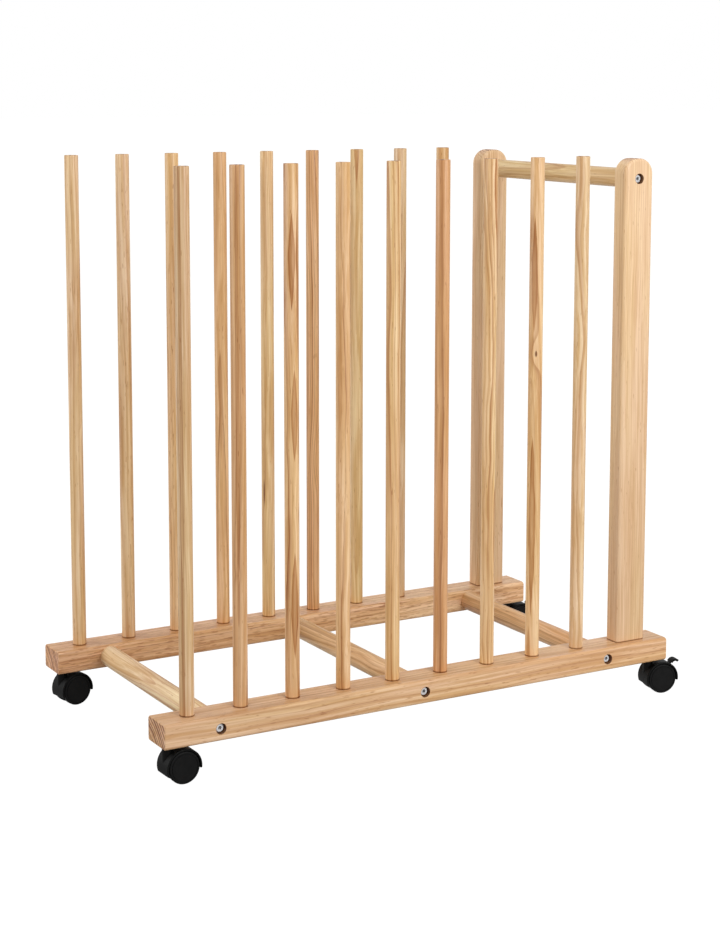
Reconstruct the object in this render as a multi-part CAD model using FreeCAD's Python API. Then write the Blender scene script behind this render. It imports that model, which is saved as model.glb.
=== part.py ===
import FreeCAD, Part
import math
import os

# A wheeled wooden rack that stores canvases and panels on edge. Two rails stand on swivel castors and
# are tied by three round stretchers. A row of round uprights rises from each rail, so that a panel
# slides in between two pairs of them. Two flat posts and a round crossbar at one end are the push handle.
#
# Frame: millimetres, +Z up, X along the rails with the push handle at +X, Y across the rack with the
# front rail at -Y. The origin is on the floor, under the middle of the wooden base.

Vector = FreeCAD.Vector
UP = Vector(0, 0, 1)
ACROSS = Vector(0, 1, 0)

# ---------------------------------------------------------------- driving dimensions: wooden frame
rail_length = 700.0
rail_width = 46.0
rail_height = 29.0
rail_edge_radius = 4.0
rail_end_bevel = 1.0
rack_depth = 367.0  # from the outer face of one rail to the outer face of the other

upright_count = 9
upright_diameter = 17.0
first_upright = 37.5  # from the rails' left ends to the first upright's axis
last_upright = 77.0  # from the last upright's axis to the posts' centre line
upright_rise = 615.0  # above the rails' tops
upright_seat_depth = 18.0  # blind hole in the rail
upright_bevel = 0.7

post_width = 43.0
post_thickness = 24.0
post_rise = 611.0
post_inset = 49.5  # from the rails' right ends to the posts' centre line
post_corner_radius = 19.0
post_edge_radius = 4.0

stretcher_diameter = 26.0
left_stretcher = 69.0  # from the rails' left ends
right_stretcher = 43.5  # from the right stretcher's axis to the posts' centre line

crossbar_diameter = 24.0
crossbar_drop = 25.0  # from the posts' tops to the crossbar's axis

# ---------------------------------------------------------------- driving dimensions: fasteners
bolt_diameter = 6.0
bolt_head_diameter = 10.0
bolt_head_height = 4.0
bolt_head_bevel = 0.8
bolt_socket_across_flats = 4.0
bolt_socket_depth = 2.6
bolt_grip = 14.0  # thread length inside the insert
bolt_head_recess = 4.0  # from the wood's face to the top of the head
counterbore_diameter = 12.5
insert_diameter = 10.0
insert_length = 15.0
insert_end_room = 8.0  # drilled depth past the insert

screw_diameter = 5.0
screw_head_diameter = 9.0
screw_head_height = 3.0
screw_head_recess = 2.0
screw_counterbore_diameter = 10.5
screw_spacing = 20.0
screw_grip = 28.0  # length inside the post
screw_end_room = 2.0

# ---------------------------------------------------------------- driving dimensions: castors
stem_inset = 12.5  # from each rail end to the swivel axis
trail = 15.5  # from the swivel axis back to the wheel axle
wheel_diameter = 38.0
wheel_rim_wall = 3.4
wheel_face_wall = 2.4
wheel_hub_diameter = 11.0
tread_edge_radius = 1.6
face_groove_radius = 15.4
face_groove_width = 1.0
face_groove_depth = 0.6
castor_width = 27.2  # over the outer faces of the twin wheels
hood_wall = 2.0
hood_wheel_gap = 1.0
hood_overhang = 0.4  # the hood is this much wider than the wheels on each side
hood_edge_radius = 1.0
hood_end_radius = 1.2  # on the outer edge of the trailing end
hood_front_angle = 20.0  # the hood ends this far below the axle's level on the leading side
hood_rear_angle = 9.0  # and this far below it on the trailing side
web_thickness = 9.6
web_hub_radius = 6.5
web_hub_arc = 30.0  # degrees of the hub's round left bare on each side of straight down
swivel_gap = 5.0  # between the hood's top and the rail
boss_diameter = 11.6
boss_lip = 2.5  # the boss rises this far above the hood's top
boss_depth = 4.0  # the boss ends this far below the axle's level
axle_diameter = 6.0
axle_end_wall = 2.6  # from the axle's end to the wheel's outer face
snap_ridge = 0.35
snap_width = 1.0
snap_setback = 0.9
stem_diameter = 8.0
stem_foot = 2.5  # the stem's lower end is this far above the axle's level
stem_snap_height = 2.5
stem_collar_across_flats = 14.0
stem_thread_length = 17.0
stem_insert_diameter = 11.0
stem_insert_length = 13.0
stem_insert_room = 5.0

# The brake: a lever in the hood's rear, whose bar reaches through the web into both wheels.
brake_travel = 14.0  # degrees from released to pressed
brake_pivot_diameter = 3.0
brake_pivot_depth = 4.5  # below the hood's inner face
brake_pivot_angle = 50.0
brake_bar_diameter = 3.0
brake_bar_angle = 78.0
brake_bar_end_wall = 1.0  # from the bar's end to the wheel's face wall
lever_arm_width = 4.8
lever_tab_width = 10.0
lever_thickness = 3.0
lever_boss_wall = 1.6
lever_root_angle = 46.0
lever_root_rise = 2.0
lever_crest_x = 22.6
lever_tip_x = 26.0
lever_tip_drop = 1.85  # from the crest to the tip
lever_rail_gap = 5.0  # the lever passes under the rail when the castor turns

# The castors don't all point the same way: degrees from +X, anticlockwise from above.
castor_yaw = {
    "front_left": 1.5,
    "rear_left": 9.0,
    "front_right": -11.5,
    "rear_right": -4.0,
}
braked_corners = ("front_right", "rear_right")

# ---------------------------------------------------------------- named clearances, each on the radius
seat_clearance = 0.10  # wood in wood
bolt_clearance = 0.25
snug_clearance = 0.02  # pressed or screwed together
running_clearance = 0.05  # a turning joint
side_clearance = 0.30  # between faces that pass each other
brake_clearance = 0.30
overcut = 1.0  # how far a cutter starts outside the piece it cuts

# ---------------------------------------------------------------- places that follow from the above
wheel_radius = wheel_diameter / 2
hood_inner_radius = wheel_radius + hood_wheel_gap
hood_outer_radius = hood_inner_radius + hood_wall
rail_underside = wheel_radius + hood_outer_radius + swivel_gap
rail_middle = rail_underside + rail_height / 2
rail_top = rail_underside + rail_height
rail_left = -rail_length / 2
rail_right = rail_length / 2
rail_line = rack_depth / 2 - rail_width / 2  # each rail's centre line, at -Y and +Y
upright_radius = upright_diameter / 2
post_x = rail_right - post_inset
first_upright_x = rail_left + first_upright
upright_pitch = (post_x - last_upright - first_upright_x) / (upright_count - 1)
upright_line_x = [first_upright_x + i * upright_pitch for i in range(upright_count)]
left_stretcher_x = rail_left + left_stretcher
right_stretcher_x = post_x - right_stretcher
stretcher_x = {
    "left": left_stretcher_x,
    "middle": (left_stretcher_x + right_stretcher_x) / 2,
    "right": right_stretcher_x,
}
post_top = rail_top + post_rise
crossbar_z = post_top - crossbar_drop
bolt_hole_radius = bolt_diameter / 2 + bolt_clearance
counterbore_depth = bolt_head_height + bolt_head_recess
hood_half_width = castor_width / 2 + hood_overhang
side_name = {"front": -1, "rear": 1}


# ---------------------------------------------------------------- helpers
def rod(radius, length, start, direction):
    """A round bar from a start point along a direction."""
    return Part.makeCylinder(radius, length, start, direction)


def bore(radius, depth, mouth, direction):
    """A drill of this depth, which starts a little outside the mouth of its hole."""
    return rod(radius, depth + overcut, mouth - direction * overcut, direction)


def bolt_bores(mouth, inward, wood):
    """The through hole and counterbore of a tie bolt, in wood this thick."""
    return [
        bore(bolt_hole_radius, wood + overcut, mouth, inward),
        bore(counterbore_diameter / 2, counterbore_depth, mouth, inward),
    ]


def hexagon_bar(across_flats, length, start, direction):
    """A six-sided bar whose flats lie this far apart."""
    corner_radius = across_flats / math.sqrt(3)
    turn = FreeCAD.Rotation(UP, direction)
    corners = [
        start + turn.multVec(Vector(corner_radius * math.cos(a), corner_radius * math.sin(a), 0))
        for a in [math.radians(60 * i) for i in range(7)]
    ]
    return Part.Face(Part.makePolygon(corners)).extrude(direction * length)


def turned(outline, direction):
    """A lathe piece: the closed outline of (radius, height) pairs spun about the Z or Y axis."""
    points = [Vector(r, 0, h) if direction == UP else Vector(r, h, 0) for r, h in outline]
    return Part.Face(Part.makePolygon(points + points[:1])).revolve(Vector(0, 0, 0), direction, 360)


def polar(radius, degrees):
    """A point in a castor's side view: radius and angle from the axle, with 90 degrees straight up."""
    angle = math.radians(degrees)
    return Vector(trail + radius * math.cos(angle), 0, wheel_radius + radius * math.sin(angle))


def swing(point, pivot, degrees):
    """A side-view point turned about a pivot, positive from +X towards +Z."""
    angle = math.radians(degrees)
    dx, dz = point.x - pivot.x, point.z - pivot.z
    across = dx * math.cos(angle) - dz * math.sin(angle)
    up = dx * math.sin(angle) + dz * math.cos(angle)
    return Vector(pivot.x + across, 0, pivot.z + up)


def cross_rod(radius, length, middle):
    """A round bar across the castor, half to each side of a side-view point."""
    return rod(radius, length, middle - ACROSS * (length / 2), ACROSS)


def centred_slab(wire, width):
    """A side-view outline made as thick as width, half to each side of the castor's middle."""
    slab = Part.Face(wire).extrude(Vector(0, width, 0))
    slab.translate(Vector(0, -width / 2, 0))
    return slab


def link(first, first_radius, second, second_radius, width):
    """A flat link with round ends: the common tangents of two circles in the side view."""
    along = second - first
    distance = along.Length
    along.normalize()
    lean = math.acos((first_radius - second_radius) / distance)
    heading = math.atan2(along.z, along.x)

    def rim(centre, radius, angle):
        return centre + Vector(radius * math.cos(angle), 0, radius * math.sin(angle))

    wire = Part.Wire(
        [
            Part.LineSegment(
                rim(first, first_radius, heading + lean), rim(second, second_radius, heading + lean)
            ).toShape(),
            Part.Arc(
                rim(second, second_radius, heading + lean),
                rim(second, second_radius, heading),
                rim(second, second_radius, heading - lean),
            ).toShape(),
            Part.LineSegment(
                rim(second, second_radius, heading - lean), rim(first, first_radius, heading - lean)
            ).toShape(),
            Part.Arc(
                rim(first, first_radius, heading - lean),
                rim(first, first_radius, heading + math.pi),
                rim(first, first_radius, heading + lean),
            ).toShape(),
        ]
    )
    return centred_slab(wire, width)


def circles(shape, radius, axis_place, along):
    """The shape's circular edges of this radius whose centre is at this place along an axis."""
    found = []
    for edge in shape.Edges:
        curve = edge.Curve
        if isinstance(curve, Part.Circle) and abs(curve.Radius - radius) < 1e-4:
            if abs(curve.Center.dot(along) - axis_place) < 1e-4:
                found.append(edge)
    return found


def export(node, shapes):
    """Write one node: a single solid, or a group of separate equal ones."""
    solid = shapes[0] if len(shapes) == 1 else Part.makeCompound(shapes)
    solid.exportStep("parts/" + node + ".step")


# ---------------------------------------------------------------- wooden frame
def rounded_bar_profile(width, height, radius):
    """A rectangle with rounded corners in the YZ plane, centred on the origin."""
    w, h, r = width / 2, height / 2, radius
    k = r * (1 - math.sqrt(0.5))
    corners = [(w, h), (-w, h), (-w, -h), (w, -h)]
    edges = []
    last = Vector(0, w, h - r)
    for y, z in corners:
        sy, sz = math.copysign(1, y), math.copysign(1, z)
        beside, over = Vector(0, y, z - sz * r), Vector(0, y - sy * r, z)
        begin, end = (beside, over) if sy == sz else (over, beside)
        if (begin - last).Length > 1e-6:
            edges.append(Part.LineSegment(last, begin).toShape())
        edges.append(Part.Arc(begin, Vector(0, y - sy * k, z - sz * k), end).toShape())
        last = end
    edges.append(Part.LineSegment(last, Vector(0, w, h - r)).toShape())
    return Part.Wire(edges)


def rail(side):
    """One base rail: seats for the uprights, bores for the bolts, screws and castor stems."""
    y = side * rail_line
    outer = side * rack_depth / 2
    inward = Vector(0, -side, 0)
    bar = Part.Face(rounded_bar_profile(rail_width, rail_height, rail_edge_radius))
    bar = bar.extrude(Vector(rail_length, 0, 0))
    ends = [e for e in bar.Edges if e.BoundBox.XLength < 1e-6]
    bar = bar.makeChamfer(rail_end_bevel, ends)
    bar.translate(Vector(rail_left, y, rail_middle))
    bores = []
    for x in upright_line_x:
        mouth = Vector(x, y, rail_top)
        bores.append(bore(upright_radius + seat_clearance, upright_seat_depth, mouth, -UP))
    for x in stretcher_x.values():
        bores += bolt_bores(Vector(x, outer, rail_middle), inward, rail_width)
    for x in screw_x():
        mouth = Vector(x, y, rail_underside)
        bores.append(bore(screw_diameter / 2 + seat_clearance, rail_height + overcut, mouth, UP))
        bores.append(bore(screw_counterbore_diameter / 2, screw_head_height + screw_head_recess, mouth, UP))
    for x in (rail_left + stem_inset, rail_right - stem_inset):
        mouth = Vector(x, y, rail_underside)
        depth = stem_insert_length + stem_insert_room
        bores.append(bore(stem_insert_diameter / 2 + snug_clearance, depth, mouth, UP))
    return bar.cut(bores)


def upright(x, side):
    """A round upright that stands in its blind hole, with both ends eased."""
    length = upright_seat_depth + upright_rise
    bar = rod(upright_radius, length, Vector(x, side * rail_line, rail_top - upright_seat_depth), UP)
    return bar.makeChamfer(upright_bevel, circles(bar, upright_radius, rail_top + upright_rise, UP))


def screw_x():
    """The posts' screws lie on the rail's centre line, one each side of the post's middle."""
    return (post_x - screw_spacing / 2, post_x + screw_spacing / 2)


def post(side):
    """A flat post with rounded top corners, standing on the rail and drilled for its bolt and screws."""
    half, corner = post_width / 2, post_corner_radius
    left, right, top = post_x - half, post_x + half, post_top
    k = corner * (1 - math.sqrt(0.5))
    outline = Part.Wire(
        [
            Part.LineSegment(Vector(left, 0, rail_top), Vector(right, 0, rail_top)).toShape(),
            Part.LineSegment(Vector(right, 0, rail_top), Vector(right, 0, top - corner)).toShape(),
            Part.Arc(
                Vector(right, 0, top - corner),
                Vector(right - k, 0, top - k),
                Vector(right - corner, 0, top),
            ).toShape(),
            Part.LineSegment(Vector(right - corner, 0, top), Vector(left + corner, 0, top)).toShape(),
            Part.Arc(
                Vector(left + corner, 0, top), Vector(left + k, 0, top - k), Vector(left, 0, top - corner)
            ).toShape(),
            Part.LineSegment(Vector(left, 0, top - corner), Vector(left, 0, rail_top)).toShape(),
        ]
    )
    board = centred_slab(outline, post_thickness)
    long_edges = [
        e for e in board.Edges if e.BoundBox.YLength < 1e-6 and e.BoundBox.ZMax > rail_top + 1e-6
    ]
    board = board.makeFillet(post_edge_radius, long_edges)
    board.translate(Vector(0, side * rail_line, 0))
    outer = side * (rail_line + post_thickness / 2)
    inward = Vector(0, -side, 0)
    bores = bolt_bores(Vector(post_x, outer, crossbar_z), inward, post_thickness)
    for x in screw_x():
        foot = Vector(x, side * rail_line, rail_top)
        bores.append(bore(screw_diameter / 2 + snug_clearance, screw_grip + screw_end_room, foot, UP))
    return board.cut(bores)


def tie_bar(x, z, diameter, half_length):
    """A round bar across the rack, drilled at both ends for its inserts and bolts."""
    bar = rod(diameter / 2, 2 * half_length, Vector(x, -half_length, z), ACROSS)
    depth = insert_length + insert_end_room
    for side in side_name.values():
        mouth = Vector(x, side * half_length, z)
        bar = bar.cut(bore(insert_diameter / 2 + snug_clearance, depth, mouth, Vector(0, -side, 0)))
    return bar


# ---------------------------------------------------------------- fasteners
def tie_bolt(x, z, side, outer_face, wood):
    """A socket-head bolt sunk in its counterbore, through the wood and into the tie bar's insert."""
    inward = Vector(0, -side, 0)
    seat = Vector(x, side * (outer_face - counterbore_depth), z)
    head_top = seat - inward * bolt_head_height
    head = rod(bolt_head_diameter / 2, bolt_head_height, head_top, inward)
    head = head.makeChamfer(bolt_head_bevel, circles(head, bolt_head_diameter / 2, head_top.y, ACROSS))
    shank = rod(bolt_diameter / 2, wood - counterbore_depth + bolt_grip, seat, inward)
    socket = hexagon_bar(bolt_socket_across_flats, bolt_socket_depth, head_top, inward)
    return head.fuse(shank).cut(socket).removeSplitter()


def tie_insert(x, z, side, half_length):
    """The threaded insert in one end of a tie bar."""
    mouth = Vector(x, side * half_length, z)
    inward = Vector(0, -side, 0)
    sleeve = rod(insert_diameter / 2, insert_length, mouth, inward)
    return sleeve.cut(rod(bolt_diameter / 2 + snug_clearance, insert_length, mouth, inward))


def post_screw(x, side):
    """A wood screw from under the rail into the foot of a post."""
    seat = Vector(x, side * rail_line, rail_underside + screw_head_recess + screw_head_height)
    head = rod(screw_head_diameter / 2, screw_head_height, seat - UP * screw_head_height, UP)
    shank_length = rail_top - seat.z + screw_grip
    return head.fuse(rod(screw_diameter / 2, shank_length, seat, UP)).removeSplitter()


# ---------------------------------------------------------------- castor, in its own frame
# The castor's own frame has the swivel axis as Z and the floor at 0. The wheels trail towards +X.
def wheel():
    """One of the twin wheels, on the +Y side: a cup with a hub, a closed face and a ring groove."""
    inner = web_thickness / 2 + side_clearance
    rim_inner = boss_diameter / 2 + 2 * side_clearance
    face = castor_width / 2
    cup = wheel_radius - wheel_rim_wall
    hub = wheel_hub_diameter / 2
    bore_radius = axle_diameter / 2 + running_clearance
    axle_end = face - axle_end_wall + side_clearance
    groove_start = face - axle_end_wall - snap_setback - snap_width - running_clearance
    groove_end = groove_start + snap_width + 2 * running_clearance
    outline = [
        (bore_radius, inner),
        (hub, inner),
        (hub, face - wheel_face_wall),
        (cup, face - wheel_face_wall),
        (cup, rim_inner),
        (wheel_radius, rim_inner),
        (wheel_radius, face),
        (face_groove_radius + face_groove_width, face),
        (face_groove_radius + face_groove_width, face - face_groove_depth),
        (face_groove_radius, face - face_groove_depth),
        (face_groove_radius, face),
        (0, face),
        (0, axle_end),
        (bore_radius, axle_end),
        (bore_radius, groove_end),
        (bore_radius + snap_ridge, groove_end),
        (bore_radius + snap_ridge, groove_start),
        (bore_radius, groove_start),
    ]
    disc = turned(outline, ACROSS)
    disc = disc.makeFillet(tread_edge_radius, circles(disc, wheel_radius, face, ACROSS))
    disc = disc.makeFillet(tread_edge_radius / 2, circles(disc, wheel_radius, rim_inner, ACROSS))
    disc.translate(polar(0, 0))
    return disc


def axle():
    """The steel axle, with a ridge near each end that snaps into the wheel's hub."""
    radius = axle_diameter / 2
    end = castor_width / 2 - axle_end_wall
    ridge_end = end - snap_setback
    ridge_start = ridge_end - snap_width
    half = [
        (radius, ridge_start),
        (radius + snap_ridge - running_clearance, ridge_start),
        (radius + snap_ridge - running_clearance, ridge_end),
        (radius, ridge_end),
        (radius, end),
        (0, end),
    ]
    outline = half + [(r, -h) for r, h in reversed(half)]
    pin = turned(outline, ACROSS)
    pin.translate(polar(0, 0))
    return pin


def hood():
    """The hood's shell: a rounded strip swept round the axle from the trailing to the leading side."""
    inner, outer, half, r = hood_inner_radius, hood_outer_radius, hood_half_width, hood_edge_radius
    k = r * (1 - math.sqrt(0.5))
    strip = Part.Wire(
        [
            Part.LineSegment(Vector(inner, -half, 0), Vector(inner, half, 0)).toShape(),
            Part.LineSegment(Vector(inner, half, 0), Vector(outer - r, half, 0)).toShape(),
            Part.Arc(
                Vector(outer - r, half, 0), Vector(outer - k, half - k, 0), Vector(outer, half - r, 0)
            ).toShape(),
            Part.LineSegment(Vector(outer, half - r, 0), Vector(outer, r - half, 0)).toShape(),
            Part.Arc(
                Vector(outer, r - half, 0), Vector(outer - k, k - half, 0), Vector(outer - r, -half, 0)
            ).toShape(),
            Part.LineSegment(Vector(outer - r, -half, 0), Vector(inner, -half, 0)).toShape(),
        ]
    )
    sweep = hood_rear_angle + 180 + hood_front_angle
    shell = Part.Face(strip).revolve(Vector(0, 0, 0), -ACROSS, sweep)
    shell.rotate(Vector(0, 0, 0), -ACROSS, -hood_rear_angle)
    shell.translate(polar(0, 0))
    trailing_end = polar(outer, -hood_rear_angle)
    end_edges = [
        e for e in shell.Edges
        if (e.CenterOfMass - trailing_end).Length < 1e-4 and e.Length < 2 * half
    ]
    return shell.makeFillet(hood_end_radius, end_edges)


def web():
    """The plate between the wheels, from the hood's shell down to the hub that holds the axle."""
    rim = hood_inner_radius + hood_wall / 2
    leading, trailing = 180 + hood_front_angle, -hood_rear_angle
    hub_left = polar(web_hub_radius, 270 - web_hub_arc)
    hub_right = polar(web_hub_radius, 270 + web_hub_arc)
    outline = Part.Wire(
        [
            Part.Arc(polar(rim, trailing), polar(rim, 90), polar(rim, leading)).toShape(),
            Part.LineSegment(polar(rim, leading), hub_left).toShape(),
            Part.Arc(hub_left, polar(web_hub_radius, 270), hub_right).toShape(),
            Part.LineSegment(hub_right, polar(rim, trailing)).toShape(),
        ]
    )
    return centred_slab(outline, web_thickness)


def boss_top():
    return wheel_radius + hood_outer_radius + boss_lip


def brake_points():
    """The brake's pivot and its bar, released and pressed, in the castor's side view."""
    pivot = polar(hood_inner_radius - brake_pivot_depth, brake_pivot_angle)
    cup = wheel_radius - wheel_rim_wall
    pressed = polar(cup - brake_clearance - brake_bar_diameter / 2, brake_bar_angle)
    released = swing(pressed, pivot, brake_travel)
    return pivot, released, pressed


def castor_body(braked):
    """The moulded body: hood, web and swivel boss in one piece, bored for the axle and the stem."""
    boss_foot = wheel_radius - boss_depth
    boss = rod(boss_diameter / 2, boss_top() - boss_foot, Vector(0, 0, boss_foot), UP)
    body = hood().fuse([web(), boss]).removeSplitter()
    cuts = [cross_rod(axle_diameter / 2 + snug_clearance, 2 * web_thickness, polar(0, 0)), stem_bore()]
    return body.cut(cuts + (brake_pocket() if braked else []))


def stem_bore():
    """The blind hole that the stem turns in, with the groove for its snap ridge."""
    radius = stem_diameter / 2 + running_clearance
    foot = wheel_radius + stem_foot - side_clearance
    groove_start = wheel_radius + stem_foot + stem_snap_height - side_clearance
    groove_end = groove_start + snap_width + 2 * side_clearance
    outline = [
        (0, foot),
        (radius, foot),
        (radius, groove_start),
        (radius + snap_ridge, groove_start),
        (radius + snap_ridge, groove_end),
        (radius, groove_end),
        (radius, boss_top() + overcut),
        (0, boss_top() + overcut),
    ]
    return turned(outline, UP)


def brake_pocket():
    """The slot for the lever's arm, the pivot's hole and the windows that the brake bar moves in."""
    pivot, released, pressed = brake_points()
    arm = lever_boss_radius() + side_clearance
    outside = hood_outer_radius + 2 * lever_thickness
    root = polar(outside, lever_root_angle)
    width = lever_arm_width + 2 * side_clearance
    cuts = []
    for point in (released, pressed):
        cuts.append(link(point, arm, pivot, arm, width))
    for turn in (0, -brake_travel / 2, -brake_travel):
        cuts.append(link(pivot, arm, swing(root, pivot, turn), arm, width))
    window = brake_bar_diameter / 2 + side_clearance
    cuts.append(link(released, window, pressed, window, 2 * web_thickness))
    cuts.append(cross_rod(brake_pivot_diameter / 2 + snug_clearance, 2 * web_thickness, pivot))
    return cuts


def lever_boss_radius():
    return brake_pivot_diameter / 2 + lever_boss_wall


def brake_lever():
    """The foot lever: a curved tab outside the hood and an arm inside that carries the brake bar."""
    pivot, released, _ = brake_points()
    half = lever_thickness / 2
    crest_z = rail_underside - lever_rail_gap - half
    root = polar(hood_outer_radius + lever_root_rise, lever_root_angle)
    crest = Vector(trail + lever_crest_x, 0, crest_z)
    tip = Vector(trail + lever_tip_x, 0, crest_z - lever_tip_drop)
    bend = Part.Arc(root, crest, tip).toShape().Curve
    centre, radius = bend.Center, bend.Radius

    def offset(point, by):
        return centre + (point - centre) * ((radius + by) / radius)

    tab = Part.Wire(
        [
            Part.Arc(offset(root, half), offset(crest, half), offset(tip, half)).toShape(),
            Part.LineSegment(offset(tip, half), offset(tip, -half)).toShape(),
            Part.Arc(offset(tip, -half), offset(crest, -half), offset(root, -half)).toShape(),
            Part.LineSegment(offset(root, -half), offset(root, half)).toShape(),
        ]
    )
    tab = centred_slab(tab, lever_tab_width)
    arm_radius = lever_boss_radius()
    arm = link(released, arm_radius, pivot, arm_radius, lever_arm_width)
    neck = link(pivot, arm_radius, root, half, lever_arm_width)
    holes = [
        cross_rod(brake_pivot_diameter / 2 + running_clearance, 2 * lever_arm_width, pivot),
        cross_rod(brake_bar_diameter / 2 + snug_clearance, 2 * lever_arm_width, released),
    ]
    return tab.fuse([arm, neck]).cut(holes).removeSplitter()


def brake_pivot():
    """The pin that the lever turns on, held in the web's two cheeks."""
    pivot, _, _ = brake_points()
    return cross_rod(brake_pivot_diameter / 2, web_thickness, pivot)


def brake_bar():
    """The steel bar that the lever presses outwards against the inside of both rims."""
    _, released, _ = brake_points()
    length = castor_width - 2 * (wheel_face_wall + brake_bar_end_wall)
    return cross_rod(brake_bar_diameter / 2, length, released)


def stem():
    """The castor's stem: a journal in the body, a hexagon collar and a threaded shank in the rail."""
    radius = stem_diameter / 2
    foot = wheel_radius + stem_foot
    ridge = foot + stem_snap_height
    outline = [
        (0, foot),
        (radius, foot),
        (radius, ridge),
        (radius + snap_ridge - running_clearance, ridge),
        (radius + snap_ridge - running_clearance, ridge + snap_width),
        (radius, ridge + snap_width),
        (radius, rail_underside + stem_thread_length),
        (0, rail_underside + stem_thread_length),
    ]
    collar_foot = boss_top() + side_clearance
    collar = hexagon_bar(stem_collar_across_flats, rail_underside - collar_foot,
                         Vector(0, 0, collar_foot), UP)
    return turned(outline, UP).fuse(collar).removeSplitter()


def stem_insert():
    """The threaded insert that the stem screws into, flush with the rail's underside."""
    foot = Vector(0, 0, rail_underside)
    sleeve = rod(stem_insert_diameter / 2, stem_insert_length, foot, UP)
    return sleeve.cut(rod(stem_diameter / 2 + snug_clearance, stem_insert_length, foot, UP))


def placed(shape, corner):
    """A castor piece moved from the castor's own frame to its corner of the rack."""
    row, end = corner.split("_")
    x = rail_left + stem_inset if end == "left" else rail_right - stem_inset
    piece = shape.copy()
    piece.rotate(Vector(0, 0, 0), UP, castor_yaw[corner])
    piece.translate(Vector(x, side_name[row] * rail_line, 0))
    return piece


# ---------------------------------------------------------------- build and write every node
def build_frame():
    half_span = rack_depth / 2 - rail_width
    half_handle = rail_line - post_thickness / 2
    post_face = rail_line + post_thickness / 2
    for row, side in side_name.items():
        export(row + "_rail", [rail(side)])
        export(row + "_post", [post(side)])
        for number, x in enumerate(upright_line_x, start=1):
            export(row + "_upright_" + str(number), [upright(x, side)])
    for name, x in stretcher_x.items():
        export(name + "_stretcher", [tie_bar(x, rail_middle, stretcher_diameter, half_span)])
    export("crossbar", [tie_bar(post_x, crossbar_z, crossbar_diameter, half_handle)])
    sides = side_name.values()
    export("stretcher_bolts", [
        tie_bolt(x, rail_middle, s, rack_depth / 2, rail_width) for x in stretcher_x.values() for s in sides
    ])
    export("stretcher_inserts", [
        tie_insert(x, rail_middle, s, half_span) for x in stretcher_x.values() for s in sides
    ])
    export("crossbar_bolts", [tie_bolt(post_x, crossbar_z, s, post_face, post_thickness) for s in sides])
    export("crossbar_inserts", [tie_insert(post_x, crossbar_z, s, half_handle) for s in sides])
    export("post_screws", [post_screw(x, s) for x in screw_x() for s in sides])


def build_castors():
    outer_wheel = wheel()
    mirrored = outer_wheel.mirror(Vector(0, 0, 0), ACROSS)
    plain_body, braked_body = castor_body(False), castor_body(True)
    for corner in castor_yaw:
        braked = corner in braked_corners
        front = corner.startswith("front")
        export(corner + "_stem", [placed(stem(), corner)])
        export(corner + "_hood", [placed(braked_body if braked else plain_body, corner)])
        export(corner + "_axle", [placed(axle(), corner)])
        export(corner + "_outer_wheel", [placed(mirrored if front else outer_wheel, corner)])
        export(corner + "_inner_wheel", [placed(outer_wheel if front else mirrored, corner)])
        if braked:
            export(corner + "_brake_lever", [placed(brake_lever(), corner)])
            export(corner + "_brake_pivot", [placed(brake_pivot(), corner)])
            export(corner + "_brake_bar", [placed(brake_bar(), corner)])
    export("castor_inserts", [placed(stem_insert(), corner) for corner in castor_yaw])


os.makedirs("parts", exist_ok=True)
build_frame()
build_castors()
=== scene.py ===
# %% [markdown]
# # Dressing a wheeled wooden drying rack
# The rack is a pine frame on four small castors: two rails, two rows of round uprights, a pair of
# posts with a crossbar to push it by, and steel bolts that hold the joints. The solids come from a
# CAD program and are already the right size. What is left is what the eye wants: the wood's grain,
# the lacquer's sheen, bright plating, and black moulded nylon. Each step below adds one of these.

import bmesh
import bpy
import math
from mathutils import Matrix, Vector


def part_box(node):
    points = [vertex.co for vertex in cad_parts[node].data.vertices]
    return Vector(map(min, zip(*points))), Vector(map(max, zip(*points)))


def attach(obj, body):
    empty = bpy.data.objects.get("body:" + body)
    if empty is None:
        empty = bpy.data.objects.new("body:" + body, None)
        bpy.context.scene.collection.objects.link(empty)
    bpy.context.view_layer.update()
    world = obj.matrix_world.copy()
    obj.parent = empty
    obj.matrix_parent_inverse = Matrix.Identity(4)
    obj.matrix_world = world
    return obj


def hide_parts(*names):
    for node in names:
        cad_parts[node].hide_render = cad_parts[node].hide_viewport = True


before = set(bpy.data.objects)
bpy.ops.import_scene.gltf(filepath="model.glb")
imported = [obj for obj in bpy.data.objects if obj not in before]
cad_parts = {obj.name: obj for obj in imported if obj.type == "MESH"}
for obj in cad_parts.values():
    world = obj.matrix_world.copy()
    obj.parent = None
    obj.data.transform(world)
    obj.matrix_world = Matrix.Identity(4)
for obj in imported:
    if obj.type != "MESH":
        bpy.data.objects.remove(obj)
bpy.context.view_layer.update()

# %% [markdown]
# ## Measures taken from the solids
# Blender works in metres, and a woodworker in millimetres. One named factor turns the second into
# the first. Where a piece lies is read from the solid's own box and not typed again, so only the
# marks that are listed one by one, such as knots, have places of their own.

# %% Millimetres, middles and tops
MM = 0.001


def middle_of(node):
    """The middle of a CAD node's box."""
    low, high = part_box(node)
    return (Vector(low) + Vector(high)) / 2


def top_of(node):
    """The height of a CAD node's top."""
    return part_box(node)[1][2]


print("rails end at a height of", round(top_of("front_rail") / MM, 1), "mm")

# %% [markdown]
# ## Colours
# Colours are easiest to choose as the 0 to 255 numbers of a colour picker, but a shader works in
# linear light. One small function converts them, so that every finish below can be written in
# picker numbers. A stain, which multiplies the colour under it, is written as plain factors.

# %% Picker numbers to linear light
WHITE = (1, 1, 1, 1)


def tint(red, green, blue):
    """A shader colour from picker numbers."""
    linear = []
    for value in (red / 255, green / 255, blue / 255):
        linear.append(value / 12.92 if value <= 0.04045 else ((value + 0.055) / 1.055) ** 2.4)
    return (*linear, 1.0)


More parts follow.
